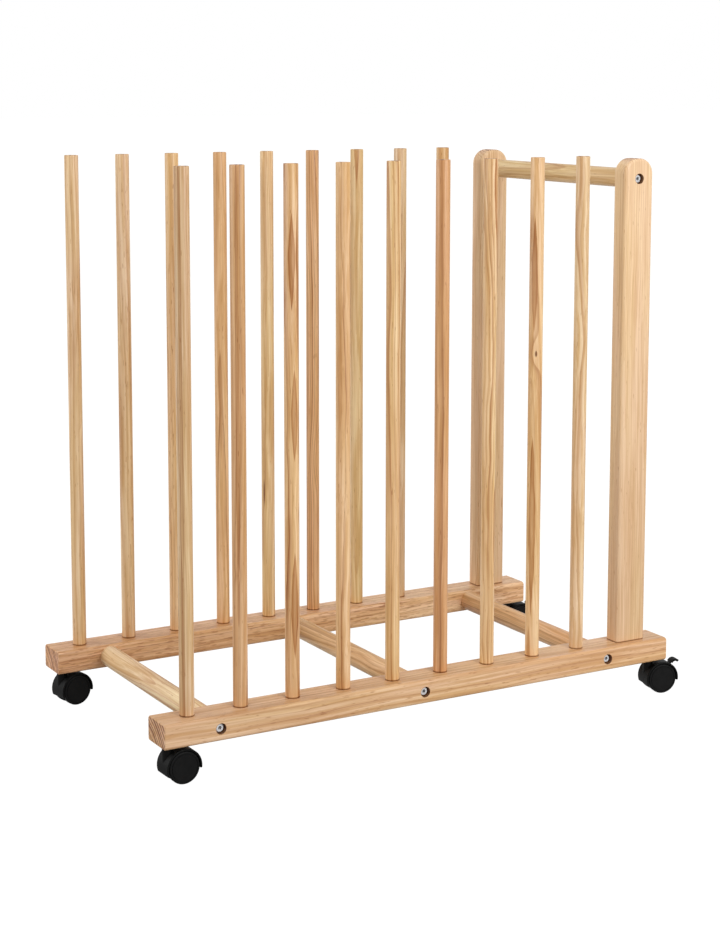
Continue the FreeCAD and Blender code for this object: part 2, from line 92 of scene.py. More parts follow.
def shaded(colour, amount):
    """A colour made darker by an amount below 1, or lighter by one above 1."""
    return (*[min(1.0, channel * amount) for channel in colour[:3]], 1.0)


print("honey pine in linear light:", [round(v, 3) for v in tint(226, 184, 134)])

# %% [markdown]
# ## The camera
# The rack is seen from its front left, a little above the rails, through a long lens that keeps the
# uprights nearly parallel. A long lens far away gives a calm product view, where a wide lens close by
# would splay the uprights. The lens is shifted down a little, as a view camera's is, which shows the
# whole rack without tilting the camera and so without making the uprights lean together.

# %% Place the camera
CAMERA_PLACE = Vector((-1.2112, -2.1186, 0.7903))
LOOKING = Vector((0.493, 0.8604, -0.129)).normalized()
CAMERA_UP = Vector((0.0631, 0.1125, 0.9916))
LENS, SENSOR = 76.73, 36.0  # millimetres
DOWN_SHIFT = -0.1444  # as a share of the picture
NEAREST = 0.05

camera_data = bpy.data.cameras.new("studio_camera")
camera_data.lens = LENS
camera_data.sensor_width = SENSOR
camera_data.shift_y = DOWN_SHIFT
camera_data.clip_start = NEAREST
camera = bpy.data.objects.new("studio_camera", camera_data)
bpy.context.scene.collection.objects.link(camera)
right = LOOKING.cross(CAMERA_UP).normalized()
up = right.cross(LOOKING)
camera.matrix_world = Matrix(
    (
        (right.x, up.x, -LOOKING.x, CAMERA_PLACE.x),
        (right.y, up.y, -LOOKING.y, CAMERA_PLACE.y),
        (right.z, up.z, -LOOKING.z, CAMERA_PLACE.z),
        (0, 0, 0, 1),
    )
)
bpy.context.scene.camera = camera
bpy.context.scene.view_settings.view_transform = "Standard"
print("camera stands", round(CAMERA_PLACE.length, 2), "m away")

# %% [markdown]
# ## Making node trees by hand
# A material is a small graph. Adding each box with its own three lines soon hides what the graph
# does, so one helper adds a node, sets its options and fills its sockets, with either a plain value
# or the output of another node. The others are shorthand for sums on numbers and on vectors.

# %% Helpers that add a node
def plug(tree, value, socket):
    """Gives a socket its value, or a link where the value is another node's output."""
    if isinstance(value, bpy.types.NodeSocket):
        tree.links.new(value, socket)
    else:
        socket.default_value = value


def add(tree, kind, inputs=None, **options):
    """A new node: inputs is a dictionary from a socket's name or number to its value or source."""
    made = tree.nodes.new(kind)
    for name, value in options.items():
        setattr(made, name, value)
    for key, value in (inputs or {}).items():
        plug(tree, value, made.inputs[key])
    return made


def maths(tree, operation, first, second=0.0, third=0.0, clamp=False):
    """The result of one sum on numbers, such as MULTIPLY or ADD."""
    node = add(tree, "ShaderNodeMath", {0: first, 1: second, 2: third}, operation=operation)
    node.use_clamp = clamp
    return node.outputs[0]


def vectors(tree, operation, first, second):
    """The vector that a sum on two vectors gives."""
    return add(tree, "ShaderNodeVectorMath", {0: first, 1: second}, operation=operation).outputs[0]


def length_of(tree, vector):
    """How long a vector is."""
    return add(tree, "ShaderNodeVectorMath", {0: vector}, operation="LENGTH").outputs["Value"]


def facing(tree, way, other):
    """How far two directions agree: 1 the same way, 0 square to each other, -1 opposite."""
    sockets = {0: way, 1: other}
    return add(tree, "ShaderNodeVectorMath", sockets, operation="DOT_PRODUCT").outputs["Value"]


print("sums ready")

# %% [markdown]
# ## Soft edges, stains and noise
# Nothing on wood or plastic has a hard edge, so a value is turned into a mark with a smooth step and
# not with a sharp one. Marks are then laid over each other as a finisher does with stains: each one
# multiplies the colour under it. The marks themselves come from noise, whose size is given in
# millimetres, because a maker can check that against a real board.

# %% Helpers for marks
def soft_step(tree, value, start, end, low=0.0, high=1.0):
    """Runs smoothly from low to high as the value goes from start to end."""
    step = {"Value": value, "From Min": start, "From Max": end, "To Min": low, "To Max": high}
    return add(tree, "ShaderNodeMapRange", step, interpolation_type="SMOOTHSTEP").outputs[0]


def mixed(tree, amount, first, second, blend="MIX"):
    """Two colours, mixed by an amount from 0 to 1."""
    sockets = {0: amount, 6: first, 7: second}
    return add(tree, "ShaderNodeMix", sockets, data_type="RGBA", blend_type=blend).outputs[2]


def stained(tree, amount, colour, stain):
    """A colour under a stain, which is laid on as far as the amount from 0 to 1 says."""
    return mixed(tree, amount, colour, stain, "MULTIPLY")


def cloud(tree, place, size, stretch=1.0, detail=2.0, rough=0.5, colour=False):
    """Noise whose blobs are this many millimetres across, and stretch times as long along Z."""
    scale = (1000.0 / size, 1000.0 / size, 1000.0 / (size * stretch))
    spread = vectors(tree, "MULTIPLY", place, scale)
    sockets = {"Vector": spread, "Scale": 1.0, "Detail": detail, "Roughness": rough}
    return add(tree, "ShaderNodeTexNoise", sockets).outputs["Color" if colour else "Fac"]


def patches(tree, place, size, stretch=1.0, start=0.3, end=0.7, detail=2.0, rough=0.5):
    """Noise that is pushed towards 0 below the start and towards 1 above the end."""
    return soft_step(tree, cloud(tree, place, size, stretch, detail, rough), start, end)


print("marks ready")

# %% [markdown]
# ## Studio light
# The rack stands on plain white. A floor that is lit until it looks white would need so much light
# that the pale wood burnt out too. Instead the floor and the world show white only to the camera,
# while the light that falls on the rack is set by itself.
#
# A lacquered dowel shows what stands in front of it as a soft sheen. In a studio with white walls
# behind the product and a dark room behind the camera, the middle of a dowel keeps the wood's full
# colour and its edges turn a little paler. So reflections see their own studio, which is dim towards
# the front and brighter at the sides and back.

# %% What reflections see
BACKDROP_WAY = (*Vector((LOOKING.x, LOOKING.y)).normalized(), 0.0)
DIM_FRONT, BRIGHT_BACK = 0.3, 0.85  # how bright the studio's two ends are
DIM_ENDS, BRIGHT_STARTS = -0.6, 0.35  # where they lie, as facing() tells it


def studio_glow(tree, way):
    """How bright the studio is in a reflection that leaves the rack this way."""
    level = add(tree, "ShaderNodeVectorMath", {0: way}, operation="NORMALIZE").outputs[0]
    behind = facing(tree, level, BACKDROP_WAY)
    return soft_step(tree, behind, DIM_ENDS, BRIGHT_STARTS, DIM_FRONT, BRIGHT_BACK)


print("backdrop lies towards", [round(v, 2) for v in BACKDROP_WAY])

# %% [markdown]
# ## The floor
# A product stands on a sheet of white paper, and what ties it to the ground is its own soft shadow.
# The paper is one wide face. Most of what the camera sees of it is a glow, which keeps it white, and
# the rest is real shading, which lets the castors' shadow through.

# %% Lay the floor
SHADOW_SHARE = 0.3  # how much of the floor's own shading the camera sees
FLOOR_GLOW = 1.4
PAPER_GREY = (0.4, 0.4, 0.4, 1)
FLOOR_REACH = 30.0

floor_material = bpy.data.materials.new("studio_floor")
floor_material.use_nodes = True
tree = floor_material.node_tree
tree.nodes.clear()
paper = add(tree, "ShaderNodeBsdfDiffuse", {"Color": PAPER_GREY})
rays = add(tree, "ShaderNodeLightPath").outputs
reflected = studio_glow(tree, add(tree, "ShaderNodeTexCoord").outputs["Object"])
change = maths(tree, "SUBTRACT", reflected, FLOOR_GLOW)
strength = maths(tree, "MULTIPLY_ADD", rays["Is Glossy Ray"], change, FLOOR_GLOW)
glow = add(tree, "ShaderNodeEmission", {"Color": WHITE, "Strength": strength})
seen = maths(tree, "ADD", rays["Is Camera Ray"], rays["Is Glossy Ray"])
seen = maths(tree, "ADD", seen, rays["Is Transmission Ray"], clamp=True)
glow_share = maths(tree, "MULTIPLY", seen, 1 - SHADOW_SHARE)
floor_mix = add(tree, "ShaderNodeMixShader", {0: glow_share, 1: paper.outputs[0], 2: glow.outputs[0]})
add(tree, "ShaderNodeOutputMaterial", {"Surface": floor_mix.outputs[0]})

corners = [(x * FLOOR_REACH, y * FLOOR_REACH, 0) for x, y in ((-1, -1), (1, -1), (1, 1), (-1, 1))]
floor_mesh = bpy.data.meshes.new("studio_floor")
floor_mesh.from_pydata(corners, [], [(0, 1, 2, 3)])
floor_mesh.materials.append(floor_material)
floor = bpy.data.objects.new("studio_floor", floor_mesh)
bpy.context.scene.collection.objects.link(floor)
print("floor reaches", FLOOR_REACH, "m each way")

# %% [markdown]
# ## World and lamps
# Even light from all round shows every side of the rack, but by itself it looks flat. A tall soft box
# at the front right is the key light, which rounds the dowels. A second stands at the left, a little
# behind the rack, and lifts their other edge. A faint one overhead lights the tops of the rails, and
# is left out of reflections, where it would show as a white bar.

# %% Light the studio
WORLD_LIGHT = 0.58  # the even light that falls on the rack from all round

world = bpy.data.worlds.new("studio_world")
world.use_nodes = True
bpy.context.scene.world = world
tree = world.node_tree
tree.nodes.clear()
rays = add(tree, "ShaderNodeLightPath").outputs
seen = maths(tree, "ADD", rays["Is Camera Ray"], rays["Is Transmission Ray"], clamp=True)
strength = maths(tree, "MULTIPLY_ADD", seen, 1.0 - WORLD_LIGHT, WORLD_LIGHT)
reflected = studio_glow(tree, add(tree, "ShaderNodeTexCoord").outputs["Generated"])
change = maths(tree, "SUBTRACT", reflected, WORLD_LIGHT)
strength = maths(tree, "MULTIPLY_ADD", rays["Is Glossy Ray"], change, strength)
sky = add(tree, "ShaderNodeBackground", {"Color": WHITE, "Strength": strength})
add(tree, "ShaderNodeOutputWorld", {"Surface": sky.outputs[0]})


def soft_lamp(name, place, aim, watts, width, height, reflects=True):
    """A soft box that faces a point. Where reflects is False, no reflection shows it."""
    lamp = bpy.data.lights.new(name, "AREA")
    lamp.energy = watts
    lamp.shape = "RECTANGLE"
    lamp.size = width
    lamp.size_y = height
    holder = bpy.data.objects.new(name, lamp)
    holder.location = place
    holder.rotation_euler = (Vector(aim) - Vector(place)).to_track_quat("-Z", "Y").to_euler()
    holder.visible_glossy = reflects
    bpy.context.scene.collection.objects.link(holder)
    return holder


lamps = [
    soft_lamp("key_lamp", (0.58, -3.10, 1.40), (0, 0, 0.45), watts=60, width=0.7, height=2.2),
    soft_lamp("top_lamp", (-0.7, -0.7, 2.7), (0, 0, 0.35), watts=4, width=1.6, height=1.6, reflects=False),
    soft_lamp("side_lamp", (-2.7, 1.00, 1.1), (0, 0, 0.5), watts=31, width=1.2, height=2.0),
]
print("lamps:", ", ".join(lamp.name for lamp in lamps))

# %% [markdown]
# ## How pine grows
# Pine is a stack of thin cones, one for each year: pale early wood that darkens smoothly into a thin
# band of late wood and then starts again. Any cut through it shows lines where it runs along the
# trunk, and pointed arches where it leaves it at a slant. So the grain isn't painted on a surface. It
# is worked out in the space of the log: how far a point lies from the tree's heart gives its ring,
# and every face, edge and end of a piece then agrees with the next.
#
# The recipe is one node group, shared by all pieces. Each piece then has its own place in the log,
# ring width and tone, as boards from different trees have. First come the group's sockets.

# %% The pine recipe's sockets
def new_group(name, sockets_in, sockets_out):
    """An empty node group with these sockets, and its input and output nodes' sockets."""
    group = bpy.data.node_groups.new(name, "ShaderNodeTree")
    for label, kind, value in sockets_in:
        socket = group.interface.new_socket(label, in_out="INPUT", socket_type=kind)
        if value is not None:
            socket.default_value = value
    for label, kind in sockets_out:
        group.interface.new_socket(label, in_out="OUTPUT", socket_type=kind)
    return group, add(group, "NodeGroupInput").outputs, add(group, "NodeGroupOutput").inputs


pine_group, given, result = new_group(
    "pine_wood",
    [
        ("Place", "NodeSocketVector", None),
        ("Ring Width", "NodeSocketFloat", 3 * MM),
        ("Ring Shift", "NodeSocketFloat", 0.0),
        ("Sway", "NodeSocketFloat", 11 * MM),
        ("Line Strength", "NodeSocketFloat", 0.5),
        ("Pale", "NodeSocketColor", tint(236, 200, 155)),
        ("Late", "NodeSocketColor", tint(196, 146, 92)),
        ("End Grain", "NodeSocketFloat", 0.0),
        ("Knot", "NodeSocketFloat", 0.0),
        ("Flame", "NodeSocketFloat", 0.0),
        ("Speckle", "NodeSocketFloat", 0.0),
        ("Streaks", "NodeSocketFloat", 1.0),
    ],
    [("Color", "NodeSocketColor"), ("Roughness", "NodeSocketFloat"), ("Height", "NodeSocketFloat")],
)
tree = pine_group
place = given["Place"]
print("pine recipe takes", len(given) - 1, "values")

# %% [markdown]
# ### Counting the years
# The heart of the log is the Z axis, so a point's distance from it, divided by the width of a ring,
# counts the years. A real trunk isn't straight and its years aren't alike. Two layers of noise bend
# the space first, one over a hand's length and one over a finger's, and a third lets the width of
# the rings wander.

# %% Rings
BEND_SIZE, BEND_STRETCH = 60, 3.5
RIPPLE_SIZE, RIPPLE_STRETCH, RIPPLE_SHARE = 14, 5, 0.25
WANDER_SCALE, WANDER_YEARS = 0.8, 1.1


def swayed(tree, place, size, stretch, amount):
    """Moves a place in the log by up to half this many metres."""
    push = cloud(tree, place, size, stretch, detail=1.0, colour=True)
    push = vectors(tree, "SUBTRACT", push, (0.5, 0.5, 0.5))
    push = add(tree, "ShaderNodeVectorMath", {0: push, "Scale": amount}, operation="SCALE").outputs[0]
    return vectors(tree, "ADD", place, push)


ripple = maths(tree, "MULTIPLY", given["Sway"], RIPPLE_SHARE)
grown = swayed(tree, place, BEND_SIZE, BEND_STRETCH, given["Sway"])
grown = swayed(tree, grown, RIPPLE_SIZE, RIPPLE_STRETCH, ripple)
split = add(tree, "ShaderNodeSeparateXYZ", {0: grown}).outputs
squares = [maths(tree, "MULTIPLY", split[axis], split[axis]) for axis in (0, 1)]
from_heart = maths(tree, "SQRT", maths(tree, "ADD", *squares))
year = maths(tree, "DIVIDE", from_heart, given["Ring Width"])
year = maths(tree, "ADD", year, given["Ring Shift"])
sockets = {"W": year, "Scale": WANDER_SCALE, "Detail": 0.0}
wander = add(tree, "ShaderNodeTexNoise", sockets, noise_dimensions="1D").outputs["Fac"]
year = maths(tree, "MULTIPLY_ADD", wander, WANDER_YEARS, year)
season = maths(tree, "FRACT", year)
print("rings counted with", len(tree.nodes), "nodes")

# %% [markdown]
# ### One year's line
# Through a year the wood darkens slowly, then fast, and stops at once in winter. Two smooth steps
# make the slow and the fast part, and a third ends them. Some years leave a fainter line than
# others, and a line fades in and out along the board.

# %% Late wood
DARKENS, DARKENED, SLOW_SHARE = 0.32, 0.92, 0.72  # from when to when in a year, and how much
HARDENS, HARDENED, FAST_SHARE = 0.80, 0.93, 0.42
WINTER = 0.965
FAINTEST = 0.5  # a weak year's line, and a line where it fades, against a full one
FADE_SIZE, FADE_STRETCH, FADE_LOW, FADE_HIGH = 26, 8, 0.35, 0.65
END_STRENGTH = 0.6

luck = add(tree, "ShaderNodeTexWhiteNoise", {"W": maths(tree, "FLOOR", year)}, noise_dimensions="1D")
summer = maths(tree, "MULTIPLY", soft_step(tree, season, DARKENS, DARKENED), SLOW_SHARE)
summer = maths(tree, "MULTIPLY_ADD", soft_step(tree, season, HARDENS, HARDENED), FAST_SHARE, summer)
summer = maths(tree, "MULTIPLY", summer, soft_step(tree, season, 1.0, WINTER))
summer = maths(tree, "MULTIPLY", summer, soft_step(tree, luck.outputs["Value"], 0.0, 1.0, FAINTEST, 1.0))
fading = cloud(tree, place, FADE_SIZE, FADE_STRETCH, detail=1.0)
fading = soft_step(tree, fading, FADE_LOW, FADE_HIGH, FAINTEST, 1.0)
late = maths(tree, "MULTIPLY", maths(tree, "MULTIPLY", summer, fading), given["Line Strength"])
at_end = maths(tree, "MULTIPLY", summer, given["End Grain"])
late = maths(tree, "MULTIPLY_ADD", at_end, END_STRENGTH, late, clamp=True)
print("late wood ready")

# %% [markdown]
# ### Fibres, streaks and flecks
# Between the rings, pine has long soft streaks a few millimetres wide, fine fibres about a
# millimetre wide, and short dark flecks where a resin canal is cut open. All are noise that is
# stretched along the trunk. They change the tone a little, and a darker streak is also more orange,
# because more lacquer soaks in there.

# %% Marks between the rings
FLECK_LEVEL, FLECK_EDGE = 0.69, 0.08  # noise above this is a fleck, and how soft its edge is
SPECKLED_BOARD = 0.14  # how far the level sinks on a board full of flecks

streak = patches(tree, grown, 4.0, 50, 0.34, 0.66, detail=3.0)
fibre = patches(tree, grown, 1.3, 60, 0.30, 0.70, detail=3.0, rough=0.6)
broad = patches(tree, place, 17, 14, 0.32, 0.68)
warmth = patches(tree, place, 22, 10, 0.36, 0.64, detail=1.0, rough=0.4)
sparse = maths(tree, "MULTIPLY_ADD", given["Speckle"], -SPECKLED_BOARD, FLECK_LEVEL)
fleck = cloud(tree, place, 1.5, 9, detail=1.0)
fleck = soft_step(tree, fleck, sparse, maths(tree, "ADD", sparse, FLECK_EDGE))
print("marks between the rings ready")

# %% [markdown]
# ### Laying the marks on
# The marks go on in the order that a finisher would see them appear: the two kinds of wood, the
# warmth of the lacquer, streaks, fibres, flecks. A board's ends drink more lacquer, so they turn
# darker and their rings stand out, while fibres and flecks, which run along the board, don't show
# there. Darker flames and knots come last.

# %% Colour of the pine
COOL_LACQUER, WARM_LACQUER = (1.0, 0.985, 0.90, 1), (1.0, 0.965, 0.95, 1)
STREAK_STAIN, BROAD_STAIN = (0.82, 0.72, 0.57, 1), (0.90, 0.83, 0.73, 1)
FIBRE_STAIN = (0.86, 0.79, 0.71, 1)
FLECK_STAIN, FLECK_STRENGTH = (0.62, 0.46, 0.34, 1), 0.7
END_STAIN, END_RING_STAIN = (0.95, 0.88, 0.88, 1), (0.40, 0.27, 0.23, 1)
END_RING_STARTS, END_RING_FULL, END_RING_FADES = 0.40, 0.72, 0.93  # shares of a year
FLAME_STAIN = (0.62, 0.44, 0.29, 1)
KNOT_BROWN = tint(124, 76, 40)

on_side = maths(tree, "SUBTRACT", 1.0, given["End Grain"])
colour = mixed(tree, late, given["Pale"], given["Late"])
colour = stained(tree, 1.0, colour, mixed(tree, warmth, COOL_LACQUER, WARM_LACQUER))
for mark, stain in ((streak, STREAK_STAIN), (broad, BROAD_STAIN)):
    colour = stained(tree, maths(tree, "MULTIPLY", mark, given["Streaks"]), colour, stain)
colour = stained(tree, maths(tree, "MULTIPLY", fibre, on_side), colour, FIBRE_STAIN)
specks = maths(tree, "MULTIPLY", fleck, maths(tree, "MULTIPLY", on_side, FLECK_STRENGTH))
colour = stained(tree, specks, colour, FLECK_STAIN)
colour = stained(tree, given["End Grain"], colour, END_STAIN)
end_ring = soft_step(tree, season, END_RING_STARTS, END_RING_FULL)
end_ring = maths(tree, "MULTIPLY", end_ring, soft_step(tree, season, 1.0, END_RING_FADES))
end_ring = maths(tree, "MULTIPLY", end_ring, given["End Grain"])
colour = stained(tree, end_ring, colour, END_RING_STAIN)
colour = stained(tree, given["Flame"], colour, FLAME_STAIN)
colour = mixed(tree, given["Knot"], colour, KNOT_BROWN)
plug(tree, colour, result["Color"])
print("colour of the pine ready")

# %% [markdown]
# ### Sheen and relief
# The lacquer is satin. It lies a little duller over open fibres and much duller on end grain, where
# it sinks in. The late wood is hard and stands proud after sanding, while fibres and flecks are
# shallow grooves. The relief is far too fine to model, so it only bends the light.

# %% Sheen and relief of the pine
SATIN, FIBRE_DULLS, END_DULLS = 0.44, 0.06, 0.2
FIBRE_DEPTH, FLECK_DEPTH = 0.35, 0.8  # against the height of a full line of late wood

dullness = maths(tree, "MULTIPLY_ADD", fibre, FIBRE_DULLS, SATIN)
dullness = maths(tree, "MULTIPLY_ADD", given["End Grain"], END_DULLS, dullness)
plug(tree, dullness, result["Roughness"])
relief = maths(tree, "MULTIPLY_ADD", fibre, -FIBRE_DEPTH, late)
relief = maths(tree, "MULTIPLY_ADD", fleck, -FLECK_DEPTH, relief)
plug(tree, relief, result["Height"])
print("pine recipe has", len(tree.nodes), "nodes")

# %% [markdown]
# ## From the recipe to one board
# A board needs to know which way its grain runs, where in the log it was sawn, and its tone. The
# tones are the six that a stack of pine boards shows: pale, straw, honey, rosy, tan and ginger.
# Object coordinates are used because they stay with the piece when it moves, and they run in metres,
# so that one recipe gives grain of the same real size on a thin bar and on a wide rail.

# %% Tones, and a board's place in the log
TONES = {
    # tone: early wood, late wood
    "pale": (tint(248, 219, 184), tint(208, 158, 115)),
    "straw": (tint(255, 230, 196), tint(200, 147, 96)),
    "honey": (tint(255, 223, 182), tint(190, 134, 83)),
    "rosy": (tint(255, 223, 190), tint(194, 136, 94)),
    "tan": (tint(250, 212, 170), tint(176, 122, 76)),
    "ginger": (tint(248, 203, 158), tint(166, 107, 62)),
}
GRAIN_TURN = {"X": (0.0, -math.pi / 2, 0.0), "Y": (math.pi / 2, 0.0, 0.0), "Z": (0.0, 0.0, 0.0)}
GRAIN_AXIS = {"X": (1.0, 0.0, 0.0), "Y": (0.0, 1.0, 0.0), "Z": (0.0, 0.0, 1.0)}
END_STARTS, END_FULL = 0.75, 0.97  # how squarely a face looks along the grain


def place_in_log(tree, place, grain, middle, heart, slant, seed):
    """Where a point of a board lies in the log. heart is where the tree's heart lies, in
    millimetres from the board's middle, and slant how many degrees the board leans in the log."""
    upright = vectors(tree, "SUBTRACT", place, middle)
    upright = add(tree, "ShaderNodeMapping", {"Vector": upright, "Rotation": GRAIN_TURN[grain]})
    moved = {
        "Vector": upright.outputs[0],
        "Rotation": (math.radians(slant[0]), math.radians(slant[1]), 0.0),
        "Location": (heart[0] * MM, heart[1] * MM, seed),
    }
    return add(tree, "ShaderNodeMapping", moved).outputs[0]


def end_grain(tree, normal, grain):
    """1 on the ends of a board, and 0 on its sides."""
    squarely = maths(tree, "ABSOLUTE", facing(tree, normal, GRAIN_AXIS[grain]))
    return soft_step(tree, squarely, END_STARTS, END_FULL)


print("tones:", ", ".join(TONES))

# %% [markdown]
# ### Knots
# Where a branch left the trunk, the rings bend round it and a small dark core may show. Both come
# from the distance to the knot: a bell curve adds a year or so to the count near it, which pushes
# the lines aside, and a soft spot marks the core.

# %% Knots
CORE_SOLID, CORE_STRENGTH = 0.4, 0.95  # the share of the core that is fully dark, and how dark


def knot_marks(tree, place, grain, knots):
    """How many years the knots add at a place, and how far it lies in a dark core. Each knot is its
    place, core radius, reach, years and how much longer than wide it is, in millimetres."""
    years, dark = 0.0, 0.0
    for centre, core, reach, swirl, length in knots:
        away = vectors(tree, "SUBTRACT", place, Vector(centre) * MM)
        squash = [1 / length if axis == grain else 1.0 for axis in "XYZ"]
        distance = length_of(tree, vectors(tree, "MULTIPLY", away, squash))
        near = maths(tree, "POWER", maths(tree, "DIVIDE", distance, reach * MM), 2.0)
        bend = maths(tree, "EXPONENT", maths(tree, "MULTIPLY", near, -1.0))
        years = maths(tree, "MULTIPLY_ADD", bend, swirl, years)
        spot = soft_step(tree, distance, core * MM, core * MM * CORE_SOLID, 0.0, CORE_STRENGTH)
        dark = maths(tree, "MAXIMUM", dark, spot)
    return years, dark


KNOTS = {
    # node: place in mm, radius of the dark core, reach of the bent rings, years they bend by, length
    "front_upright_2": [((-251, -168, 229), 1.1, 5, 0.4, 1.6)],
    "front_upright_8": [((152.3, -167.8, 453), 1.9, 7, 0.9, 2.6)],
    "rear_upright_5": [((-52, 157, 243), 1.6, 3, 0.2, 14.0)],
    "middle_stretcher": [((-14, -40, 69), 0.1, 9, 1.6, 3.0)],
    "rear_upright_6": [((31, 155, 283), 0.1, 14, 2.6, 2.6)],
}
print("pieces with a knot:", len(KNOTS))

# %% [markdown]
# ### Flames
# Where a dowel's round side cuts through a few years at a shallow slant, the late wood shows as a
# long dark patch with pointed ends, which woodworkers call a flame. It could come from the rings
# alone, but then it couldn't be put in a chosen spot. So a flame is a shape of its own: it narrows
# with the square of the distance along the grain, its rim is darker than its middle, and noise
# keeps its outline from being too even.

# %% Flames
FLAME_WOBBLE, WOBBLE_SIZE, WOBBLE_STRETCH = 0.6, 9, 4
FLAME_ENDS, FLAME_STARTS = 1.36, 1.24
RIM_STARTS, RIM_FULL, FLAME_MIDDLE = 0.5, 1.2, 0.7  # where the rim is, and the middle's strength


def flame_marks(tree, place, in_log, grain, flames):
    """How strongly a place is flamed. Each flame is its place, half its width, half its length, in
    millimetres, and its strength."""
    flame = 0.0
    for centre, width, reach, strength in flames:
        away = vectors(tree, "SUBTRACT", place, Vector(centre) * MM)
        sideways = [0.0 if axis == grain else 1 / (width * MM) for axis in "XYZ"]
        endways = [1 / (reach * MM) if axis == grain else 0.0 for axis in "XYZ"]
        across = length_of(tree, vectors(tree, "MULTIPLY", away, sideways))
        along = length_of(tree, vectors(tree, "MULTIPLY", away, endways))
        outline = maths(tree, "MULTIPLY_ADD", along, along, across)
        wobble = cloud(tree, in_log, WOBBLE_SIZE, WOBBLE_STRETCH, detail=1.0)
        outline = maths(tree, "MULTIPLY_ADD", wobble, FLAME_WOBBLE, outline)
        inside = soft_step(tree, outline, FLAME_ENDS, FLAME_STARTS)
        rim = soft_step(tree, outline, RIM_STARTS, RIM_FULL, FLAME_MIDDLE * strength, strength)
        flame = maths(tree, "MAXIMUM", flame, maths(tree, "MULTIPLY", inside, rim))
    return flame


FLAMES = {
    # node: place in mm, half its width, half its length, strength
    "front_upright_1": [((-318.7, -166.3, 380), 1.9, 900, 0.75)],
    "front_upright_2": [((-251, -168.5, 440), 2.6, 400, 0.6)],
    "front_upright_3": [
        ((-182, -168.3, 578), 4.0, 54, 1.0),
        ((-179.2, -169, 405), 3.8, 56, 1.0),
        ((-179.2, -169, 184), 4.2, 60, 1.0),
        ((-185.6, -165.2, 188), 2.4, 110, 0.55),
    ],
    "front_upright_4": [((-118.6, -165.2, 380), 2.4, 900, 0.45)],
    "front_upright_8": [((150, -166, 548), 4.0, 70, 0.9), ((150, -166, 240), 4.4, 112, 1.0)],
}
print("pieces with a flame:", len(FLAMES))

# %% [markdown]
# ### Marks of the workshop, and painted light and shade
# Three marks are not from the tree's rings. A board's tone often changes from one end to the other,
# and some boards drift between two stains that hold this change and painted light as well, lighter
# at the end that gets more light. Where an upright or a post stands on a rail, a thin dark line shows
# the joint: a glue line with painted contact shade. And the bolts' heads are sunk in bored holes,
# whose walls get painted shade.

# %% Drift with painted light, joint lines with painted shade, bored holes with painted shade
# the tone and the painted light drift over this span
TONE_AND_LIGHT_SPAN = {"X": (-0.35, 0.35), "Z": (0.10, 0.65)}  # from where to where a tone drifts, in metres
# a glue line at a joint, darkened further as painted contact shade
JOINT_GLUE_AND_SHADE, JOINT_ENDS, JOINT_FULL = (0.36, 0.24, 0.16, 1), 2.2 * MM, 0.8 * MM
# painted shade on the walls of the bored holes round the bolts' heads
BORE_SHADE = (0.30, 0.20, 0.13, 1)
BORE_RADIUS, BORE_EDGE = 6.3 * MM, 0.4 * MM
RAIL_BOLTS = [middle_of(node) for node in ("left_stretcher", "middle_stretcher", "right_stretcher")]
POST_BOLTS = [middle_of("crossbar")]  # a bolt lies on the axis of the bar that it holds


def drift_tone_and_light(tree, place, grain, colour, stains):
    """A colour that goes from under the first stain to under the second along a board. The stains hold both a
    change of tone and painted light.
    """
    split = add(tree, "ShaderNodeSeparateXYZ", {0: place}).outputs
    share = soft_step(tree, split["XYZ".index(grain)], *TONE_AND_LIGHT_SPAN[grain])
    tone_and_light_stain = mixed(tree, share, (*stains[0], 1.0), (*stains[1], 1.0))
    return stained(tree, 1.0, colour, tone_and_light_stain)


def joint_glue_and_shade(tree, place, foot):
    """The glue line and its painted contact shade: 1 at this height and under it, 0 a little above it."""
    height = add(tree, "ShaderNodeSeparateXYZ", {0: place}).outputs[2]
    return soft_step(tree, height, foot + JOINT_ENDS, foot + JOINT_FULL)


def near_axis(tree, place, axis, edge, full):
    """1 near a line that runs across the rack through a point, and 0 past the edge."""
    away = vectors(tree, "SUBTRACT", place, (axis.x, 0, axis.z))
    distance = length_of(tree, vectors(tree, "MULTIPLY", away, (1, 0, 1)))
    return soft_step(tree, distance, edge, full)


print("bolts at x of", [round(bolt.x / MM, 1) for bolt in RAIL_BOLTS + POST_BOLTS], "mm")

# %% [markdown]
# ### One board's material
# Every material below starts from the shader that Blender gives a new one, which already has a
# socket for each thing that a finish needs. For a board, the recipe fills in colour, roughness and
# relief, and the lacquer is a thin coat with a soft sheen, given once for the whole board.

# %% A board of pine
LACQUER = {"Specular IOR Level": 0.3, "Coat Weight": 0.25, "Coat Roughness": 0.30}


def new_material(name):
    """A new material, its node tree and its shader."""
    material = bpy.data.materials.new(name)
    material.use_nodes = True
    return material, material.node_tree, material.node_tree.nodes["Principled BSDF"]


def press_relief(tree, shader, height, strength, depth):
    """Lets a pattern of heights bend the light."""
    relief = add(tree, "ShaderNodeBump", {"Strength": strength, "Distance": depth, "Height": height})
    plug(tree, relief.outputs[0], shader.inputs["Normal"])


